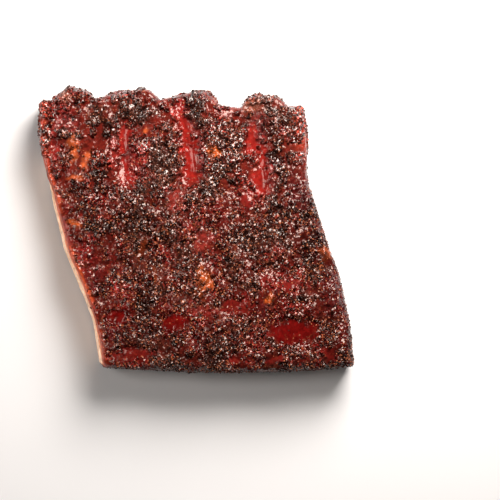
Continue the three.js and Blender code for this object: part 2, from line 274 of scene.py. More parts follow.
def buildSlab():
    # a fine grid for the top, rings of wall points, and a grid half as fine for the underside
    across = edgeStops(slab["width"])
    along = edgeStops(slab["length"])
    columns, rows = len(across), len(along)
    gridAcross, gridAlong = np.meshgrid(across, along, indexing="ij")
    ids = np.arange(columns * rows).reshape(columns, rows)
    layers = [surfacePoints(gridAcross, gridAlong, 0.0)]
    faces = np.stack([ids[:-1, :-1], ids[1:, :-1], ids[1:, 1:], ids[:-1, 1:]], -1)
    faces = faces.reshape(-1, 4).tolist()

    border = borderOf(columns, rows)
    upper = ids[border[:, 0], border[:, 1]]
    edgeAcross, edgeAlong = across[border[:, 0]], along[border[:, 1]]
    rings = round(slab["frontThickness"] / slabMesh["wallStep"])
    count = columns * rows
    for ring in range(1, rings + 1):
        depth = ring / rings
        wall, params = surfacePoints(edgeAcross, edgeAlong, depth)
        outward = np.roll(wall, -1, 0) - np.roll(wall, 1, 0)
        outward = np.stack([outward[:, 1], -outward[:, 0]], -1)
        outward /= np.linalg.norm(outward, axis=1)[:, None]
        swell = slab["wallRelief"] * np.sin(np.pi * depth)
        lengthways, upwards = slab["wallReliefSize"]
        relief = swell * planNoise((wall[:, 0] + wall[:, 1]) / lengthways, wall[:, 2] / upwards, 9)
        wall[:, :2] += outward * relief[:, None]
        layers.append((wall, params))
        lower = count + np.arange(len(border))
        count += len(border)
        faces += ringFaces(lower, upper).tolist()
        upper = lower

    # underside: every second stop, and its border cells take in the ring points between
    inner = [(i, j) for i in range(2, columns - 1, 2) for j in range(2, rows - 1, 2)]
    footIds = {stop: count + n for n, stop in enumerate(inner)}
    footIds.update({(i, j): upper[k] for k, (i, j) in enumerate(border.tolist())})
    layers.append(surfacePoints(across[[i for i, j in inner]], along[[j for i, j in inner]], 1.0))
    roundCell = ((0, 0), (0, 1), (0, 2), (1, 2), (2, 2), (2, 1), (2, 0), (1, 0))
    for i in range(0, columns - 1, 2):
        for j in range(0, rows - 1, 2):
            loop = [(i + right, j + back) for right, back in roundCell]
            faces.append([int(footIds[key]) for key in loop if key in footIds])
    points, params = [np.concatenate(part) for part in zip(*layers)]
    return points, params, faces


# Bark, glaze, fat and cut meat, in sRGB, with some tones that carry painted light or shade.
tones = {
    "bark": "#581a13", "barkDark": "#2b120b", "barkRed": "#701915", "barkBrown": "#502c22",
    "char": "#28140f", "charCrumb": "#220a07", "spiceCrumb": "#985032",
    "fat": "#a54b28", "fatBrown": "#a84c20", "fatDark": "#63240f", "pale": "#7e4839",
    "glaze": "#57150f", "redGlaze": "#7d1e1b", "deepGlaze": "#640908", "pinkGlaze": "#7e2822",
    "mauve": "#601b1a", "edge": "#93301f", "stripBright": "#771611", "stripDark": "#56201f",
    "cutRim": "#b84a26", "cutPeach": "#e39468", "cutCream": "#f4d0b4", "cutTan": "#cf9c78",
    # wall is the painted shade that the bark walls darken to
    "wall": "#46150f", "membrane": "#86472b", "membraneDark": "#582318",
}

# Patches of the top: tone, how far crumbs stay on top, how much the glaze over it wrinkles, how strong
# it is, and its spots as x, y and half sizes in millimetres.
patches = [
    ("barkBrown", 1, 1, 0.8, [
        (12.5, 42.3, 9, 11), (-26.5, 57.2, 9, 5.5), (-14.4, 29, 6, 11), (-47, 54.4, 4.5, 4.5),
        (-58.7, 45.2, 3.5, 3), (37.5, 56.8, 4.5, 4), (-19.7, 39.4, 5.5, 6), (4.3, 21.6, 7, 6),
        (31, 30, 4, 10)]),
    ("barkBrown", 0.8, 0.6, 0.6, [
        (-16.4, 31.3, 7, 17), (-30, 20, 8, 8), (34, -4, 14, 9), (-6, -12, 8, 10)]),
    ("char", 1, 0.35, 0.6, [
        (-43.8, 54.1, 4.8, 3.6), (-53.4, 10.8, 5.5, 4.5), (-30, 5, 10, 8), (26, -3.6, 13, 6),
        (5.5, 16.8, 4, 5), (-22.1, -28.9, 5, 5), (10.3, -56.5, 11, 8), (-23.3, -48.1, 8.4, 6),
        (38, 49.3, 4.8, 8), (42.8, -55.8, 8, 4.5)]),
    ("mauve", 0.2, 0.15, 0.8, [
        (32, -39.7, 5, 4), (-41.4, -48.1, 5, 6), (-50, -22, 6, 8), (-61.8, 52.9, 7, 5),
        (52, 22, 8, 12)]),
    # the valleys' glaze, maroon and bright red: partly its own colours, partly painted light on each
    # valley's left side and painted shade on its right side
    ("stripDark", 0.25, 0.2, 0.95, [
        (-32.8, 37, 3.8, 13), (-3.7, 51, 3.8, 6), (0.9, 35, 3.6, 12), (28.4, 46.5, 4.4, 9),
        (34, 26, 3.8, 12)]),
    ("stripBright", 0.08, 0.05, 0.97, [
        (-35.2, 41, 3.9, 10), (-33.8, 29, 3.9, 10), (-6, 49, 3.9, 9), (-2.8, 34, 4.2, 14),
        (26.8, 43, 3.7, 9), (30.8, 28, 4.2, 14)]),
    # pink glaze with a painted sheen on the first valley's left shoulder, crinkled so that it also glints
    ("pinkGlaze", 0.15, 1.7, 0.9, [(-40.5, 37, 2.4, 10)]),
    ("redGlaze", 0.35, 0.3, 0.8, [
        (-7, 58.2, 4.4, 4.6), (-68, 42, 4, 9), (-29, 33, 4, 9), (-53, -10, 6, 9),
        (-36.6, -31.3, 6, 3)]),
    ("barkRed", 0.1, 0.05, 0.92, [
        (45.2, -25, 11, 6), (19.5, -62.8, 3.4, 2.8), (37.3, -60.6, 6.5, 3), (-30.5, -60.1, 12, 4.6),
        (20, -36, 9, 5), (26, 16, 4, 4), (63, -59, 6, 4.5)]),
    ("barkRed", 0.8, 0.2, 0.7, [(50, -38.5, 10, 4.5)]),
    ("barkRed", 0.3, 0.15, 0.85, [(71.4, -50, 3.6, 9), (68.5, -31, 4.5, 9)]),
    ("mauve", 0.35, 0.1, 0.85, [(66, -29, 5.5, 12), (69.7, -34.9, 3, 6.2)]),
    ("deepGlaze", 0.1, 0.12, 0.95, [
        (48.1, -49.6, 16.5, 6.2), (-36.6, -41.8, 6.2, 4.2), (-8.9, -45.7, 6.4, 4.6)]),
    ("pinkGlaze", 0.2, 0.08, 0.8, [(3.1, -4.8, 7.6, 6.4), (3.1, -38, 7, 3), (-8, 14, 4, 4)]),
    ("fat", 0.15, 0.2, 0.95, [
        (-60.6, 40, 3.4, 4.8), (-53.4, 33.8, 2.7, 4.8), (-58.2, 24.4, 2.8, 2.2),
        (-23.3, 47.6, 1.8, 2.0), (61.1, -9.8, 4.0, 3.4)]),
    ("fatBrown", 0.3, 0.2, 0.9, [
        (3.8, -25.5, 3.9, 6.5), (34.2, -34.3, 2.4, 2), (-58.9, 3.8, 2.2, 2), (9.7, 38.8, 2.1, 3)]),
    ("fatDark", 0.3, 0.2, 0.9, [(-24.5, -9.2, 2.4, 6), (-20.7, -19.7, 1.9, 3.4)]),
    ("pale", 0.5, 0.5, 0.7, [(-62.3, 64.9, 3, 1.8), (28.9, 61.0, 4.8, 3.4)]),
]
patchEdge = {
    "bend": 2.2, "bendSize": 6, "raggedness": 0.4, "raggedSizes": (3.3, 1.4), "fade": (0.4, 1.3),
}


def patchCover(x, y, spots):
    # 1 inside an ellipse and 0 outside, with bent and ragged edges
    bendX, bendY = [patchEdge["bend"] * evenNoise(x, y, patchEdge["bendSize"], seed) for seed in (65, 66)]
    x, y = x + bendX, y + bendY
    ragged = 0
    for size, seed in zip(patchEdge["raggedSizes"], (61, 62)):
        ragged = ragged + patchEdge["raggedness"] * evenNoise(x, y, size, seed)
    cover = np.zeros_like(x)
    for spotX, spotY, halfX, halfY in spots:
        reach = np.hypot((x - spotX) / halfX, (y - spotY) / halfY) + ragged
        cover = np.maximum(cover, 1 - smoothStep(reach, *patchEdge["fade"]))
    return cover


def toneColour(tone):
    return linearColour(tones[tone])


def blendTones(colour, **shares):
    # each tone in turn laid over the colour, by its share at each point
    for tone, share in shares.items():
        colour = mix(colour, toneColour(tone), share[:, None])
    return colour


def crustCover(x, y):
    # 1 on a crust of bark, 0 on the glaze between
    cover = sum(share * evenNoise(x, y, size, seed) for size, share, seed in slabMesh["crusts"])
    return smoothStep(cover, *slabMesh["crustEdge"])


def sideOf(share):
    # -1 on the wall where a share starts, 1 on the wall where it ends, 0 between
    return (share > 1 - slab["rim"]) * 1.0 - (share < slab["rim"])


def unfoldedPlan(points, params):
    # plan coordinates that run on down the walls, so that no pattern is drawn out along them
    x, y = points.T[:2]
    across, along, depth = params.T
    drop = depth * slab["frontThickness"]
    return x + drop * sideOf(across), y + drop * sideOf(along)


# The paint of the top: noise as size and seed, shares from 0 to 1, and ranges of noise or of
# millimetres, along y or in from a side, over which a mark comes in.
topPaint = {
    "broad": (13, 51), "medium": (4.2, 52), "brown": (9, 53), "fineBrown": (2.6, 54),
    "mediumInDark": 0.6, "mediumInRed": 0.7, "fineInBrown": 0.5,
    "darkFrom": (0.05, 0.8), "redFrom": (0.1, 0.8), "brownFrom": (0.0, 0.7), "brownShare": 0.7,
    "crinkledFrom": (4, 30), "crinkledBend": 4,
    # on crinkled bark and on calm glaze
    "glazeShare": (0.8, 0.5), "glazeSmooths": (0.85, 0.74), "crinkles": (1.0, 0.12),
    # painted shade over the middle, less at the front edge and none at the back
    "midShadeFrom": (-62, -35), "midShadeTo": (5, 32), "midShadeDarkens": 0.12,
    "leftEdge": (26, 34), "leftBand": (1.5, 5), "leftRagged": 1.5,
    "rightEdge": (20, 40), "rightBand": (3, 8), "rightRagged": 2.5, "edgeShare": 0.55,
    "poolCrumbs": 3.6, "poolCrumbsTo": (0, 20),
    "rimTo": (34, 44), "rimBand": (0.8, 3.2), "rimRagged": 0.9, "rimRed": 0.85, "rimSmooths": 0.7,
    "rimThin": (13, 73), "thinFrom": (-0.3, 0.4),
    # painted light and shade: from front to back, at the front edge, and along the right side
    "paintedLight": (0.86, 1.06), "frontEdgeShade": (0.8, 1.0), "frontShadeFades": (-62, -20),
    "rightSideShade": (0.55, 1.0), "rightShadeFades": (3, 20), "rightShadeEndsAtBack": (30, 45),
}


def paintTop(points, params):
    # colour, how far crumbs and crinkles stand on each point, the rim beside the cut, and a blotchiness
    look = topPaint
    x, y = points.T[:2]
    across, along = params.T[:2]
    planX, planY = unfoldedPlan(points, params)
    broad = evenNoise(planX, planY, *look["broad"])
    medium = spaceNoise(points, *look["medium"])
    fineBrown = spaceNoise(points, *look["fineBrown"])
    brown = evenNoise(planX, planY, *look["brown"]) + look["fineInBrown"] * fineBrown
    colour = blendTones(
        toneColour("bark"),
        barkDark=smoothStep(broad + look["mediumInDark"] * medium, *look["darkFrom"]),
        barkRed=smoothStep(-broad - look["mediumInRed"] * medium, *look["redFrom"]),
        barkBrown=look["brownShare"] * smoothStep(brown, *look["brownFrom"]))
    # crusts are dark and gritty, and the glaze lies smooth and maroon between them
    glazed = 1 - crustCover(planX, planY)
    calm = 1 - smoothStep(y + look["crinkledBend"] * broad, *look["crinkledFrom"])
    colour = blendTones(colour, glaze=mix(*look["glazeShare"], calm) * glazed)
    grit = 1 - mix(*look["glazeSmooths"], calm) * glazed
    crinkle = mix(*look["crinkles"], calm) * grit
    # painted shade over the middle, less at the front edge and none at the back
    toBack = smoothStep(y, *look["midShadeTo"])
    midShade = smoothStep(y, *look["midShadeFrom"]) * (1 - toBack)
    colour = colour * (1 - look["midShadeDarkens"] * midShade)[:, None]
    for tone, patchGrit, patchCrinkle, strength, spots in patches:
        cover = patchCover(planX, planY, spots) * strength
        colour = blendTones(colour, **{tone: cover})
        grit = mix(grit, patchGrit, cover)
        crinkle = mix(crinkle, patchCrinkle, cover)
    # lighter orange-red bands along the left and right sides, at the back: the glaze's own red, and
    # painted light where the shoulders catch it
    fromLeft = across * slab["width"]
    fromRight = (1 - across) * slab["width"]
    leftBand = 1 - smoothStep(fromLeft + look["leftRagged"] * medium, *look["leftBand"])
    leftBand = leftBand * smoothStep(y, *look["leftEdge"])
    rightBand = 1 - smoothStep(fromRight + look["rightRagged"] * medium, *look["rightBand"])
    rightBand = rightBand * smoothStep(y, *look["rightEdge"])
    colour = blendTones(colour, edge=np.maximum(leftBand, rightBand) * look["edgeShare"])
    # crumbs gather on the sides of a pool
    pooled = poolSmoothness(across, along, x, y)
    gathered = look["poolCrumbs"] * pooled * (1 - pooled)
    grit = np.maximum(grit, gathered * (1 - smoothStep(y, *look["poolCrumbsTo"])))
    # orange-red beside the cut, where the glaze has run thin
    rim = 1 - smoothStep(fromLeft + look["rimRagged"] * medium, *look["rimBand"])
    rim = rim * (1 - smoothStep(y, *look["rimTo"]))
    size, seed = look["rimThin"]
    thin = smoothStep(planNoise(y / size, 0.5, seed), *look["thinFrom"])
    colour = blendTones(colour, redGlaze=look["rimRed"] * rim, cutRim=rim * thin)
    grit = grit * (1 - look["rimSmooths"] * rim)
    # painted light and shade: darker towards the front and along the right side short of the back, a
    # little lighter at the back
    paintedLight = mix(*look["paintedLight"], toBack)
    paintedLight = paintedLight * mix(*look["frontEdgeShade"], smoothStep(y, *look["frontShadeFades"]))
    inward = np.maximum(smoothStep(fromRight, *look["rightShadeFades"]), smoothStep(y, *look["rightShadeEndsAtBack"]))
    colour = colour * paintedLight[:, None]
    colour = colour * mix(*look["rightSideShade"], inward)[:, None]
    return colour, grit, crinkle, rim, medium


# The paint of the walls and the foot: ranges run from the top, 0, to the foot, 1.
wallPaint = {
    # painted shade down the bark walls: where it starts, where it deepens, and how dark it gets
    "starts": (0.0, 0.04), "wallShadeDeepens": (0.05, 0.5), "dark": 0.75, "dulls": (0.05, 0.3), "dull": 0.8,
    "foot": (0.93, 1.0), "grit": (0.3, 0.8), "gritLoss": 0.3,
    # cut meat: where it starts, and in millimetres how far it takes in the rim and where it ends along y
    "cutStarts": (0.0, 0.03), "cutOnRim": (0.2, 0.9), "cutTo": (30, 42), "rimDull": 0.5,
    "blotches": 0.05, "peach": (0.05, 0.16), "cream": (0.16, 0.34),
    "tan": 0.8, "tanStarts": (0.1, 0.3), "tanFibres": (0.15, 0.9),
    "fibres": [(6, 1.4, 1.0, 71), (2.4, 0.8, 0.6, 72)],  # length, width, share, seed
    # the foot's membrane, darker between the ribs, with few crumbs and crinkles
    "channelDark": 0.8, "blotchDark": 0.4, "footGritLoss": 0.6, "footCrinkleLoss": 0.7,
}


def paintSlab(points, params):
    # the top's paint taken on over walls and foot, how far each point is cut meat, and how dull it is
    look = wallPaint
    colour, grit, crinkle, rim, medium = paintTop(points, params)
    y, z = points.T[1:]
    across, depth = params.T[::2]
    fromLeft = across * slab["width"]

    # the left side is cut meat, the other walls are bark with painted shade that deepens towards the foot
    dark = look["dark"] * smoothStep(depth, *look["starts"])
    colour = blendTones(colour, wall=dark * smoothStep(depth, *look["wallShadeDeepens"]))
    isLeft = across < slab["rim"]
    under = smoothStep(depth, *look["foot"])
    cut = np.where(isLeft, smoothStep(depth, *look["cutStarts"]),
                   1 - smoothStep(fromLeft, *look["cutOnRim"]))
    cut = cut * (1 - smoothStep(y, *look["cutTo"])) * (1 - under)
    cut = np.where((depth > 0) & ~isLeft, 0, cut)
    level = depth + look["blotches"] * medium
    fibres = sum(share * planNoise(y / length, z / width, seed)
                 for length, width, share, seed in look["fibres"])
    tan = look["tan"] * smoothStep(fibres, *look["tanFibres"])
    cutColour = blendTones(
        toneColour("cutRim"), cutPeach=smoothStep(level, *look["peach"]),
        cutCream=smoothStep(level, *look["cream"]), cutTan=tan * smoothStep(level, *look["tanStarts"]))
    colour = mix(colour, cutColour, cut[:, None])

    # underside: a pale membrane over the ribs, and darker meat in the channels between them
    channel = footHeight(across) / slab["channelDepth"]
    darker = np.clip(look["channelDark"] * channel + look["blotchDark"] * medium, 0, 1)
    underColour = blendTones(toneColour("membrane"), membraneDark=darker)
    colour = mix(colour, underColour, under[:, None])
    grit = grit * (1 - cut) * (1 - look["footGritLoss"] * under)
    grit = grit * (1 - look["gritLoss"] * smoothStep(depth, *look["grit"]))
    crinkle = crinkle * (1 - cut) * (1 - look["footCrinkleLoss"] * under)
    dull = look["dull"] * smoothStep(depth, *look["dulls"])
    dull = np.maximum(np.maximum(cut, look["rimDull"] * rim), dull)
    return colour, grit, crinkle, cut, dull


def gritRelief(points, params, grit, crinkle, cut):
    y, z = points.T[1:]
    relief = slabMesh["crustRise"] * (crustCover(*unfoldedPlan(points, params)) - 0.5) * crinkle
    for size, stretch, height, seed in slabMesh["crinkles"]:
        relief += height * crinkle * spaceNoise(points, [size, size * stretch, size], seed)
    for size, height, seed in slabMesh["grit"]:
        relief += height * grit * spaceNoise(points, size, seed)
    for length, width, height, seed in slabMesh["fibre"]:
        relief += height * planNoise(y / length, z / width, seed) * cut
    return relief


bone = {
    "halfWidth": 5.7, "halfHeight": 3.6, "axisHeight": 7.4, "arch": 1.4,
    "frontProud": 0.2, "endRound": 0.5, "meatGap": 0.9, "backGap": 1.8,
    "gapEdge": (0.95, 1.2), "flatEdge": (1.0, 1.5),
    "steps": 90, "sides": 56, "wobble": 0.03, "wobbleSize": 9,
    # a sawn end: how deep its marrow has sunk, its pits, and where marrow gives way to hard bone
    "capRings": 9, "cupDepth": 0.5, "pitDepth": 0.25, "pitSize": 0.9, "marrowEdge": (0.62, 0.82),
    "poreSize": 0.8, "pore": {"From Min": 0.15, "From Max": 0.6}, "stainSize": 3.5, "stainRelief": 0.4,
    "reliefHeight": 0.4, "skin": ("#8d5233", "#d9b88e"), "marrow": ("#4a1c12", "#a8663f"),
}


def boneLine(rib, along):
    # the middle line of a rib bone
    inside = np.clip(along, 0, 1)
    x, y = planPoint(np.full_like(inside, rib["place"]), inside, 0.5)
    beyond = (along - inside) * slab["length"]
    return x, y + beyond, bone["axisHeight"] + bone["arch"] * np.sin(np.pi * inside)


def boneGap(points, params):
    # how far the meat has drawn back round each bone's end, and how flat it lies there
    x, z = points.T[::2]
    along, depth = params.T[1:]
    atEnd = (sideOf(along) != 0) & (depth > 0)
    gap = np.zeros_like(x)
    flat = np.zeros_like(x)
    for rib in ribs:
        boneX, boneZ = boneLine(rib, np.where(along > 0.5, 1.0, 0.0))[::2]
        reach = np.hypot((x - boneX) / bone["halfWidth"], (z - boneZ) / bone["halfHeight"])
        deep = np.where(along > 0.5, bone["backGap"] + rib["short"], bone["meatGap"])
        gap = np.maximum(gap, deep * (1 - smoothStep(reach, *bone["gapEdge"])))
        flat = np.maximum(flat, 1 - smoothStep(reach, *bone["flatEdge"]))
    return gap * atEnd, flat * atEnd


def newObject(name, data):
    thing = bpy.data.objects.new(name, data)
    bpy.context.scene.collection.objects.link(thing)
    return thing


def newPiece(name, points, faces, smooth=True):
    mesh = bpy.data.meshes.new(name)
    mesh.from_pydata((np.asarray(points) * mm).tolist(), [], faces, shade_flat=not smooth)
    mesh.update()
    return newObject(name, mesh)


def storeOnPoints(mesh, **layers):
    # a colour or a number for each point, by the name that the materials and the scatter read
    for name, values in layers.items():
        kind, field = ("FLOAT", "value") if values.ndim == 1 else ("FLOAT_COLOR", "color")
        if values.ndim == 2:
            values = np.concatenate([values, np.ones((len(values), 1))], 1)
        attribute = mesh.attributes.new(name, kind, "POINT")
        attribute.data.foreach_set(field, values.astype(np.float32).ravel())


def addNode(tree, kind, inputs=None, **settings):
    # one node with its settings, a shader node unless its kind says otherwise; an input is a value, a
    # socket, or a node whose first output it takes
    node = tree.nodes.new(kind if "Node" in kind else "ShaderNode" + kind)
    for name, value in settings.items():
        setattr(node, name, value)
    for key, value in (inputs or {}).items():
        if isinstance(value, bpy.types.Node):
            value = value.outputs[0]
        if isinstance(value, bpy.types.NodeSocket):
            tree.links.new(value, node.inputs[key])
        else:
            node.inputs[key].default_value = value
    return node


def rgba(text):
    return (*linearColour(text), 1)


def newMaterial(name):
    # an empty material, and the way to add a node to it
    material = bpy.data.materials.new(name)
    material.use_nodes = True
    material.node_tree.nodes.clear()
    return material, partial(addNode, material.node_tree)


# The bark's own finish: sizes and heights in millimetres.
barkLook = {
    # real grit is finer: its crumbs are as coarse as they need to be to show
    "crumbSize": 0.88, "clumpSize": 2.0, "warp": 1.3, "warpSize": 1.6,
    "crumbTilt": (1.5, 0.5), "clumpTilt": (0.8, 0.9),  # on calm glaze, on crinkled glaze
    # how dark and how light each crumb and clump is, and the painted shade in the gaps between them
    "crumbShade": {"To Min": 0.3, "To Max": 2.4},
    "clumpShade": {"To Min": 0.65, "To Max": 1.4},
    "between": {"From Min": 0.45, "From Max": 0.75, "To Min": 1.0, "To Max": 0.15},
    "mottleSize": 2.2, "mottle": {"From Min": 0.3, "From Max": 0.7, "To Min": 0.65, "To Max": 1.35},
    "charFrom": {"From Min": 0.85, "From Max": 0.9},
    "spiceFrom": {"From Min": 0.93, "From Max": 0.95},
    "spiceWhereDry": {"From Max": 0.5, "To Min": 1.0, "To Max": 0.15},
    "standingFrom": {"From Min": 0.1, "From Max": 0.6},
    "crinkleSize": 2.5, "crinkleStretch": 0.65, "crinkleHeight": 2.8, "calmHeight": 0.2,
    "sheen": {"To Min": 0.17, "To Max": 0.12}, "dullRoughness": 0.5,
    "gloss": 0.42, "index": 1.5, "glint": "#ffe8e0", "coatRoughness": 0.1, "coatIndex": 1.55,
}


def glazedBarkMaterial():
    # smoked pork bark, mopped with glaze: crumbs that each catch the light their own way, and smooth
    # wet red where the glaze pools
    look = barkLook
    material, add = newMaterial("glazed_pork_bark")
    place = add("TexCoord").outputs["Object"]
    tone = add("Attribute", attribute_name="tone").outputs["Color"]
    gritty, crinkle, dull = [add("Attribute", attribute_name=name).outputs["Fac"]
                             for name in ("grit", "crinkle", "dull")]
    # crumbs and the clumps they stand in, bent out of round
    warp = add("TexNoise", {"Vector": place, "Scale": 1 / (look["warpSize"] * mm), "Detail": 1})
    warped = add("VectorMath", {0: warp.outputs["Color"], 1: (look["warp"] * mm,) * 3, 2: place},
                 operation="MULTIPLY_ADD")
    crumbs, clumps = [add("TexVoronoi", {"Vector": warped, "Scale": 1 / (look[size] * mm)})
                      for size in ("crumbSize", "clumpSize")]
    chance, clumpChance = [add("TexWhiteNoise", {"Vector": cells.outputs["Position"]})
                           for cells in (crumbs, clumps)]
    chances = add("SeparateColor", {"Color": chance.outputs["Color"]})
    # each crumb and clump has its own tone, some are char, a few are spice, and painted shade darkens the
    # gaps between them
    crumbShade = add("MapRange", {"Value": chances, **look["crumbShade"]})
    clumpShade = add("MapRange", {"Value": clumpChance, **look["clumpShade"]})
    shade = add("Math", {0: crumbShade, 1: clumpShade}, operation="MULTIPLY")
    between = add("MapRange", {"Value": crumbs, **look["between"]})
    both = add("Math", {0: shade, 1: between}, operation="MULTIPLY")
    mottle = add("TexNoise", {"Vector": place, "Scale": 1 / (look["mottleSize"] * mm), "Detail": 3})
    mottled = add("MapRange", {"Value": mottle.outputs["Fac"], **look["mottle"]})
    granular = add("Mix", {0: gritty, 2: 1.0, 3: both})
    factor = add("Math", {0: granular, 1: mottled}, operation="MULTIPLY")
    lit = add("VectorMath", {0: tone, "Scale": factor}, operation="SCALE")
    isChar = add("MapRange", {"Value": chances.outputs[1], **look["charFrom"]})
    charred = add("Math", {0: isChar, 1: gritty}, operation="MULTIPLY")
    dark = add("Mix", {0: charred, 6: lit, 7: rgba(tones["charCrumb"])}, data_type="RGBA")
    isSpice = add("MapRange", {"Value": chances.outputs[2], **look["spiceFrom"]})
    dry = add("MapRange", {"Value": crinkle, **look["spiceWhereDry"]})
    dryGrit = add("Math", {0: dry, 1: gritty}, operation="MULTIPLY")
    spiced = add("Math", {0: isSpice, 1: dryGrit}, operation="MULTIPLY")
    colour = add("Mix", {0: spiced, 6: dark.outputs[2], 7: rgba(tones["spiceCrumb"])}, data_type="RGBA")
    # the glaze lies over crinkles, and each crumb and clump tilts its own way
    along = add("VectorMath", {0: place, 1: (1, look["crinkleStretch"], 1)}, operation="MULTIPLY")
    crinkles = add("TexNoise", {"Vector": along, "Scale": 1 / (look["crinkleSize"] * mm), "Detail": 1})
    crinkled = add("Math", {0: gritty, 1: look["calmHeight"], 2: crinkle}, operation="MULTIPLY_ADD")
    height = add("Math", {0: crinkles.outputs["Fac"], 1: crinkled}, operation="MULTIPLY")
    bump = add("Bump", {"Strength": 1.0, "Distance": look["crinkleHeight"] * mm, "Height": height})
    standing = add("MapRange", {"Value": gritty, **look["standingFrom"]})
    tilts = []
    for cells, (calm, most) in ((crumbs, look["crumbTilt"]), (clumps, look["clumpTilt"])):
        centred = add("VectorMath", {0: cells.outputs["Color"], 1: (0.5, 0.5, 0.5)}, operation="SUBTRACT")
        share = add("MapRange", {"Value": crinkle, "To Min": calm, "To Max": most})
        amount = add("Math", {0: standing, 1: share}, operation="MULTIPLY")
        tilts.append(add("VectorMath", {0: centred, "Scale": amount}, operation="SCALE"))
    tilt = add("VectorMath", {0: tilts[0], 1: tilts[1]}, operation="ADD")
    leaning = add("VectorMath", {0: bump, 1: tilt}, operation="ADD")
    normal = add("VectorMath", {0: leaning}, operation="NORMALIZE")
    sheen = add("MapRange", {"Value": crinkle, **look["sheen"]})
    shader = add("BsdfPrincipled", {
        "Base Color": colour.outputs[2], "Normal": normal, "IOR": look["index"],
        "Roughness": add("Mix", {0: dull, 2: sheen, 3: look["dullRoughness"]}),
        "Specular IOR Level": look["gloss"], "Specular Tint": rgba(look["glint"]),
        "Coat Weight": crinkle, "Coat IOR": look["coatIndex"], "Coat Roughness": look["coatRoughness"],
        "Coat Normal": normal})
    add("OutputMaterial", {"Surface": shader})
    return material


def grainMaterial(name, kind):
    # a spice grain or crumb, wet with glaze: lighter or darker than the bark it lies in, and some with a
    # colour of their own
    material, add = newMaterial(name)
    own = add("Attribute", attribute_name="shade").outputs["Fac"]
    tone = add("Attribute", attribute_name="tone").outputs["Color"]
    gain = add("MapRange", {"Value": own, **kind["gain"]})
    lit = add("VectorMath", {0: tone, "Scale": gain}, operation="SCALE")
    ramp = add("ValToRGB", {"Fac": own})
    for stop, colour in zip(ramp.color_ramp.elements, kind["colours"]):
        stop.color = rgba(colour)
    share = add("MapRange", {"Value": own, **kind["ownColour"]})
    colour = add("Mix", {0: share, 6: lit, 7: ramp}, data_type="RGBA")
    shader = add("BsdfPrincipled", {
        "Base Color": colour.outputs[2], "Roughness": kind["roughness"], "IOR": barkLook["index"],
        "Specular IOR Level": barkLook["gloss"], "Specular Tint": rgba(barkLook["glint"])})
    add("OutputMaterial", {"Surface": shader})
    return material


def boneMaterial():
    # rib bone, smoked and glazed: tan and satin along its skin, pitted and darker at the sawn ends
    material, add = newMaterial("smoked_rib_bone")
    place = add("TexCoord").outputs["Object"]
    marrow = add("Attribute", attribute_name="marrow").outputs["Fac"]
    pores = add("TexVoronoi", {"Vector": place, "Scale": 1 / (bone["poreSize"] * mm)})
    stain = add("TexNoise", {
        "Vector": place, "Scale": 1 / (bone["stainSize"] * mm), "Detail": 4}).outputs["Fac"]
    low, high = [rgba(colour) for colour in bone["skin"]]
    skin = add("Mix", {0: stain, 6: low, 7: high}, data_type="RGBA").outputs[2]
    pitted = add("MapRange", {"Value": pores, **bone["pore"]})
    low, high = [rgba(colour) for colour in bone["marrow"]]
    spongy = add("Mix", {0: pitted, 6: low, 7: high}, data_type="RGBA").outputs[2]
    colour = add("Mix", {0: marrow, 6: skin, 7: spongy}, data_type="RGBA")
    height = add("Math", {0: pitted, 1: marrow}, operation="MULTIPLY")
    height = add("Math", {0: stain, 1: bone["stainRelief"], 2: height}, operation="MULTIPLY_ADD")
    bump = add("Bump", {"Strength": 0.8, "Distance": bone["reliefHeight"] * mm, "Height": height})
    shader = add("BsdfPrincipled", {
        "Base Color": colour.outputs[2], "Roughness": 0.45, "Normal": bump, "IOR": 1.5,
        "Coat Weight": 0.25, "Coat Roughness": 0.2})
    add("OutputMaterial", {"Surface": shader})
    return material


# The coarse crumbs of cracked pepper that the solid has, one in each cell of an even grid.
crumbSet = {
    "spacing": 8.3, "margin": 5, "small": 1.0, "large": 1.9, "lift": 0.05,
    "seed": 41, "drawFactor": 16807, "drawRange": 2147483647,
    "tooSmooth": 0.2, "leastGrit": 0.7, "round": 1.12, "shades": (0.35, 1.1),
}


def crumbPlaces():
    # across, along, radius, turn and stretch of each, drawn in the solid's own order
    state = crumbSet["seed"]
    spacing, margin = crumbSet["spacing"], crumbSet["margin"]
    places = []
    for i in range(int((slab["width"] - 2 * margin) / spacing)):
        for j in range(int((slab["length"] - 2 * margin) / spacing)):
            draws = []
            for n in range(5):
                state = state * crumbSet["drawFactor"] % crumbSet["drawRange"]
                draws.append(state / crumbSet["drawRange"])
            across = (margin + (i + 0.2 + 0.6 * draws[0]) * spacing) / slab["width"]
            along = (margin + (j + 0.2 + 0.6 * draws[1]) * spacing) / slab["length"]
            radius = mix(crumbSet["small"], crumbSet["large"], draws[2] ** 2)
            places.append((across, along, radius, 2 * np.pi * draws[3], mix(0.75, 1.25, draws[4])))
    return np.array(places)


def crumbShape():
    # an octahedron with each face split in four, its edges swollen a little
    corners = np.array([(1, 0, 0), (0, 1, 0), (-1, 0, 0), (0, -1, 0), (0, 0, 1), (0, 0, -1)], float)
    points = list(corners)
    middles = {}
    faces = []

    def middle(a, b):
        key = (min(a, b), max(a, b))
        if key not in middles:
            middles[key] = len(points)
            points.append(crumbSet["round"] * (corners[a] + corners[b]) / 2)
        return middles[key]

    for k in range(4):
        for a, b, c in ((k, (k + 1) % 4, 4), ((k + 1) % 4, k, 5)):
            ab, bc, ca = middle(a, b), middle(b, c), middle(c, a)
            faces += [(a, ab, ca), (ab, b, bc), (ca, bc, c), (ab, bc, ca)]
    return np.array(points), faces


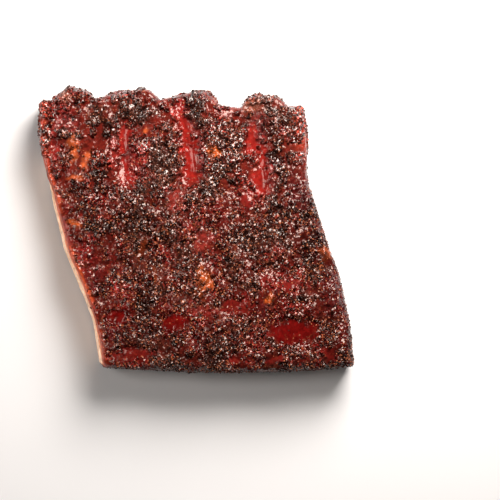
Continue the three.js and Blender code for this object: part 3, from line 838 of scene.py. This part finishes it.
def makeCrumbs(params, surface, painted):
    # each crumb stands on the slab's nearest point, and takes its tone and finish from there
    shapePoints, shapeFaces = crumbShape()
    places = crumbPlaces()
    x, y = planPoint(places[:, 0], places[:, 1], 0.0)
    places = places[poolSmoothness(places[:, 0], places[:, 1], x, y) <= crumbSet["tooSmooth"]]
    rng = np.random.default_rng(crumbSet["seed"])
    onTop = np.flatnonzero(params[:, 2] == 0)
    points, faces, owners, shades = [], [], [], []
    for across, along, radius, turn, stretch in places:
        spin = np.array(Matrix.Rotation(2 * turn, 3, "Z") @ Matrix.Rotation(turn, 3, "X"))
        crumb = (shapePoints * radius * [stretch, 1 / stretch, 1]) @ spin.T
        near = onTop[np.argmin((params[onTop, 0] - across) ** 2 + (params[onTop, 1] - along) ** 2)]
        faces += [[len(points) * len(crumb) + n for n in face] for face in shapeFaces]
        points.append(crumb + surface[near] + [0, 0, crumbSet["lift"] * radius])
        owners += [near] * len(crumb)
        shades += [rng.uniform(*crumbSet["shades"])] * len(crumb)
    piece = newPiece("bark_crumbs", np.concatenate(points), faces, smooth=False)
    tone, grit, crinkle, dull = (values[owners] for values in painted)
    storeOnPoints(piece.data, tone=tone * np.array(shades)[:, None],
                  grit=np.maximum(grit, crumbSet["leastGrit"]), crinkle=crinkle, dull=dull)
    return piece


# Where grains lie: off the foot, fine ones on calm bark, coarse ones where it is charred or crinkled.
grainCover = {"foot": (0.5, 0.8), "crinkled": (0.3, 0.8), "fineFades": (0.1, 0.7), "least": 0.35}


def makeSlab():
    points, params, faces = buildSlab()
    colour, grit, crinkle, cut, dull = paintSlab(points, params)
    piece = newPiece("bark_slab", points, faces)
    mesh = piece.data
    normals = np.zeros(len(points) * 3, np.float32)
    mesh.vertex_normals.foreach_get("vector", normals)
    relief = gritRelief(points, params, grit, crinkle, cut)
    # painted shade in the relief's hollows and painted light on its peaks, on gritty bark
    hollow = 1 - smoothStep(relief, -slabMesh["hollowDepth"], slabMesh["hollowDepth"])
    colour = colour * mix(slabMesh["peakPaintedLight"], slabMesh["hollowPaintedShade"], hollow * grit)[:, None]
    gap, flat = boneGap(points, params)
    relief = relief * (1 - flat) - gap
    points = points + normals.reshape(-1, 3) * relief[:, None]
    onFloor = params[:, 2] > wallPaint["foot"][0]
    points[onFloor, 2] = np.maximum(points[onFloor, 2], 0)
    mesh.vertices.foreach_set("co", (points * mm).astype(np.float32).ravel())
    mesh.update()
    loose = grit * (1 - smoothStep(params[:, 2], *grainCover["foot"]))
    charSpots = [spot for tone, *rest, spots in patches if tone == "char" for spot in spots]
    charred = patchCover(points[:, 0], points[:, 1], charSpots)
    rough = np.maximum(charred, smoothStep(crinkle, *grainCover["crinkled"]))
    fine = mix(1, grainCover["least"], smoothStep(crinkle, *grainCover["fineFades"]))
    storeOnPoints(mesh, tone=colour, grit=grit, crinkle=crinkle, dull=dull,
                  fine=loose * fine, coarse=loose * mix(grainCover["least"], 1, rough))
    finish = glazedBarkMaterial()
    crumbs = makeCrumbs(params, points, (colour, grit, crinkle, dull))
    for each in (piece, crumbs):
        each.data.materials.append(finish)
    return piece, crumbs


def makeBone(rib, number, material):
    along = np.linspace(-bone["frontProud"] / slab["length"], 1 - rib["short"] / slab["length"],
                        bone["steps"] + 1)
    lineX, lineY, lineZ = boneLine(rib, along)
    sides = bone["sides"]
    angle = 2 * np.pi * np.arange(sides) / sides
    shrink = np.full(len(along), 1.0)
    shrink[0] = shrink[-1] = 1 - bone["endRound"] / bone["halfWidth"]
    points = []
    for k in range(len(along)):
        lengthways = lineY[k] / bone["wobbleSize"] + 0 * angle
        wobble = 1 + bone["wobble"] * planNoise(lengthways, np.cos(angle) * 2, 80 + number)
        wobble = np.minimum(wobble, 1)
        across = bone["halfWidth"] * shrink[k] * np.cos(angle) * wobble
        height = bone["halfHeight"] * shrink[k] * np.sin(angle) * wobble
        points.append(np.stack([lineX[k] + across, lineY[k] + 0 * angle, lineZ[k] + height], -1))
    rings = len(along)
    marrow = [np.zeros(rings * sides)]
    ids = np.arange(rings * sides).reshape(rings, sides)
    faces = [quad for k in range(rings - 1) for quad in ringFaces(ids[k], ids[k + 1]).tolist()]
    # each end: rings that sink towards the middle, and a last ring of triangles
    count = ids.size
    for inward, k in ((1, 0), (-1, rings - 1)):
        centre = np.array([lineX[k], lineY[k], lineZ[k]])
        upper = ids[k]
        for ring in range(1, bone["capRings"]):
            share = 1 - ring / bone["capRings"]
            ringPoints = (points[k] - centre) * share + centre
            cup = bone["cupDepth"] * (1 - share ** 2)
            pits = bone["pitDepth"] * planNoise(
                ringPoints[:, 0] / bone["pitSize"], ringPoints[:, 2] / bone["pitSize"], 90 + number)
            ringPoints[:, 1] += inward * (cup + np.maximum(pits, 0))
            points.append(ringPoints)
            marrow.append(np.full(sides, 1 - smoothStep(share, *bone["marrowEdge"])))
            lower = count + np.arange(sides)
            count += sides
            faces += ringFaces(upper, lower)[:, ::-inward].tolist()
            upper = lower
        points.append((centre + [0, inward * bone["cupDepth"], 0])[None])
        marrow.append(np.ones(1))
        lastRing = np.stack([upper, np.roll(upper, -1), np.full(sides, count)], -1)
        faces += lastRing[:, ::-inward].tolist()
        count += 1
    piece = newPiece(f"rib_{number}", np.concatenate(points), faces)
    storeOnPoints(piece.data, marrow=np.concatenate(marrow))
    piece.data.materials.append(material)
    return piece


# Scattered kinds: spacing and sizes in millimetres, how deep each grain sits, which cover it follows,
# how far it lightens or darkens the bark's tone, and the colours that some have of their own.
grainKinds = {
    "spice_grains": {
        "spacing": 0.95, "density": 1.3, "smallest": 0.26, "largest": 0.46, "flatness": 0.75, "sink": 0.1,
        "jitter": 0.3, "seed": 3, "cover": "fine", "gain": {"To Min": 0.5, "To Max": 2.0},
        "ownColour": {"From Min": 0.62, "From Max": 0.77, "To Max": 0.8},
        "colours": ("#5a2418", "#ac6440"), "roughness": 0.5},
    "pepper_crumbs": {
        "spacing": 1.5, "density": 0.5, "smallest": 0.4, "largest": 0.8, "flatness": 0.65, "sink": 0.05,
        "jitter": 0.35, "seed": 5, "cover": "coarse", "gain": {"To Min": 0.3, "To Max": 0.8},
        "ownColour": {"From Min": 0.3, "From Max": 0.45, "To Max": 0.8},
        "colours": ("#140b09", "#381a13"), "roughness": 0.15},
    "rub_flecks": {
        "spacing": 2.0, "density": 0.1, "smallest": 0.28, "largest": 0.5, "flatness": 0.6, "sink": 0.0,
        "jitter": 0.3, "seed": 9, "cover": "fine", "gain": {"To Min": 1.0, "To Max": 2.0},
        "ownColour": {"From Min": 0.0, "From Max": 0.15, "To Max": 0.85},
        "colours": ("#7c3828", "#a4644a"), "roughness": 0.25},
}
grainLean = 0.6  # radians


def scatterTree(name, kind, material):
    # points spread over the surface, an irregular grain on each, every grain then bent its own way
    tree = bpy.data.node_groups.new(name, "GeometryNodeTree")
    newSocket = partial(tree.interface.new_socket, in_out="INPUT")
    newSocket("Geometry", socket_type="NodeSocketGeometry")
    for label in ("Spacing", "Density", "Smallest", "Largest", "Flatness", "Sink", "Jitter"):
        newSocket(label, socket_type="NodeSocketFloat")
    newSocket("Seed", socket_type="NodeSocketInt")
    newSocket("Geometry", in_out="OUTPUT", socket_type="NodeSocketGeometry")
    add = partial(addNode, tree)
    given = add("NodeGroupInput").outputs
    cover = add("GeometryNodeInputNamedAttribute", {"Name": kind["cover"]}, data_type="FLOAT")
    spread = add("GeometryNodeDistributePointsOnFaces", {
        "Mesh": given["Geometry"], "Distance Min": given["Spacing"], "Density Max": given["Density"],
        "Density Factor": cover.outputs["Attribute"], "Seed": given["Seed"]}, distribute_method="POISSON")
    grain = add("GeometryNodeMeshIcoSphere", {"Radius": 1.0, "Subdivisions": 1})
    size = add("FunctionNodeRandomValue", {2: given["Smallest"], 3: given["Largest"], "Seed": 11},
               data_type="FLOAT").outputs[1]
    turn = add("FunctionNodeRandomValue", {
        0: (-grainLean, -grainLean, 0), 1: (grainLean, grainLean, 2 * np.pi), "Seed": 12},
        data_type="FLOAT_VECTOR")
    spin = add("FunctionNodeEulerToRotation", {"Euler": turn})
    upright = add("FunctionNodeRotateRotation", {
        "Rotation": spread.outputs["Rotation"], "Rotate By": spin}, rotation_space="LOCAL")
    shade = add("FunctionNodeRandomValue", {2: 0.0, 3: 1.0, "Seed": 13}, data_type="FLOAT").outputs[1]
    shape = add("CombineXYZ", {"X": 1.0, "Y": 1.0, "Z": given["Flatness"]})
    scale = add("VectorMath", {0: shape, "Scale": size}, operation="SCALE")
    stored = spread
    for label, value in (("shade", shade), ("size", size)):
        stored = add("GeometryNodeStoreNamedAttribute", {
            "Geometry": stored, "Name": label, "Value": value}, data_type="FLOAT", domain="POINT")
    placed = add("GeometryNodeInstanceOnPoints", {
        "Points": stored, "Instance": grain, "Rotation": upright, "Scale": scale})
    depth = add("Math", {0: size, 1: given["Sink"]}, operation="MULTIPLY")
    sunk = add("GeometryNodeStoreNamedAttribute", {
        "Geometry": placed, "Name": "depth", "Value": depth}, data_type="FLOAT", domain="INSTANCE")
    real = add("GeometryNodeRealizeInstances", {"Geometry": sunk})
    jitter = add("FunctionNodeRandomValue", {0: (-1, -1, -1), 1: (1, 1, 1), "Seed": 14},
                 data_type="FLOAT_VECTOR")
    ownSize, ownDepth = [add("GeometryNodeInputNamedAttribute", {"Name": label}, data_type="FLOAT")
                         for label in ("size", "depth")]
    amount = add("Math", {0: ownSize, 1: given["Jitter"]}, operation="MULTIPLY")
    offset = add("VectorMath", {0: jitter, "Scale": amount}, operation="SCALE")
    down = add("VectorMath", {0: (0, 0, -1), "Scale": ownDepth}, operation="SCALE")
    total = add("VectorMath", {0: offset, 1: down}, operation="ADD")
    bent = add("GeometryNodeSetPosition", {"Geometry": real, "Offset": total})
    flat = add("GeometryNodeSetShadeSmooth", {"Geometry": bent, "Shade Smooth": False})
    dressed = add("GeometryNodeSetMaterial", {"Geometry": flat, "Material": material})
    add("NodeGroupOutput", {"Geometry": dressed})
    return tree


def scatterGrains(name, kind, surface, material):
    tree = scatterTree(name + "_tree", kind, material)
    carrier = newObject(name + "_carrier", surface.data.copy())
    modifier = carrier.modifiers.new("scatter", "NODES")
    modifier.node_group = tree
    values = {label: kind[label.lower()] * mm for label in ("Spacing", "Smallest", "Largest")}
    values.update({label: kind[label.lower()] for label in ("Flatness", "Sink", "Jitter", "Seed")})
    values["Density"] = kind["density"] / mm ** 2
    for item in tree.interface.items_tree:
        if item.in_out == "INPUT" and item.name in values:
            modifier[item.identifier] = values[item.name]
    evaluated = carrier.evaluated_get(bpy.context.evaluated_depsgraph_get())
    mesh = bpy.data.meshes.new_from_object(evaluated)
    mesh.name = name
    piece = newObject(name, mesh)
    carrierMesh = carrier.data
    bpy.data.objects.remove(carrier)
    bpy.data.meshes.remove(carrierMesh)
    bpy.data.node_groups.remove(tree)
    print(name, sum(len(polygon.vertices) - 2 for polygon in mesh.polygons), "triangles")
    return piece


studio = {
    "cameraAt": (0.026, -0.0096, 0.900), "lens": 131.7, "sensorWidth": 36,
    "floorSize": 3.0, "floor": ("#e9ecf0", "#eff1f4"), "world": 0.01, "lightColour": "#fff6ee",
    "lights": [  # name, place, size in metres, power in watts; each aims at the rack
        ("key softbox", (0.17, 0.30, 0.30), 0.28, 5.2), ("right softbox", (0.75, 0.12, 0.52), 0.35, 0.4),
        ("left softbox", (-0.42, 0.1, 0.76), 0.25, 1.6), ("low left fill", (-0.9, -0.1, 0.14), 0.4, 4.0),
        ("front fill", (0.0, -1.2, 1.0), 0.5, 0.25)],
}


def buildStudio():
    mesh = bpy.data.meshes.new("floor")
    half = studio["floorSize"] / 2
    corners = [(-half, -half, 0), (half, -half, 0), (half, half, 0), (-half, half, 0)]
    mesh.from_pydata(corners, [], [(0, 1, 2, 3)])
    floor = newObject("floor", mesh)
    # matt painted board, with a faint unevenness
    material, add = newMaterial("matt_studio_board")
    place = add("TexCoord").outputs["Object"]
    cloud = add("TexNoise", {"Vector": place, "Scale": 3.0, "Detail": 2}).outputs["Fac"]
    low, high = [rgba(colour) for colour in studio["floor"]]
    colour = add("Mix", {0: cloud, 6: low, 7: high}, data_type="RGBA")
    shader = add("BsdfPrincipled", {"Base Color": colour.outputs[2], "Roughness": 0.9})
    add("OutputMaterial", {"Surface": shader})
    mesh.materials.append(material)

    camera = newObject("camera", bpy.data.cameras.new("camera"))
    camera.location = studio["cameraAt"]
    camera.data.lens = studio["lens"]
    camera.data.sensor_width = studio["sensorWidth"]
    camera.data.sensor_fit = "HORIZONTAL"
    bpy.context.scene.camera = camera

    for name, place, size, power in studio["lights"]:
        lamp = bpy.data.lights.new(name, "AREA")
        lamp.size = size
        lamp.energy = power
        lamp.color = linearColour(studio["lightColour"])
        light = newObject(name, lamp)
        light.location = place
        light.rotation_euler = Vector(place).to_track_quat("Z", "Y").to_euler()
    world = bpy.data.worlds.new("studio")
    world.use_nodes = True
    sky = world.node_tree.nodes["Background"].inputs
    sky["Strength"].default_value = studio["world"]
    sky["Color"].default_value = (1, 1, 1, 1)
    bpy.context.scene.world = world
    bpy.context.scene.view_settings.view_transform = "Standard"


buildStudio()
print("studio ready")

slabPiece, crumbPiece = makeSlab()
for piece in (slabPiece, crumbPiece):
    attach(piece, body)
    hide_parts("meat")
    print(piece.name, "ready:", len(piece.data.polygons), "faces")

boneFinish = boneMaterial()
for number, rib in enumerate(ribs, 1):
    ribPiece = makeBone(rib, number, boneFinish)
    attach(ribPiece, body)
    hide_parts(f"rib_bone_{number}")
print("ribs ready")

for name, kind in grainKinds.items():
    finish = grainMaterial(name + "_finish", kind)
    piece = scatterGrains(name, kind, slabPiece, finish)
    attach(piece, body)
    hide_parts("meat")
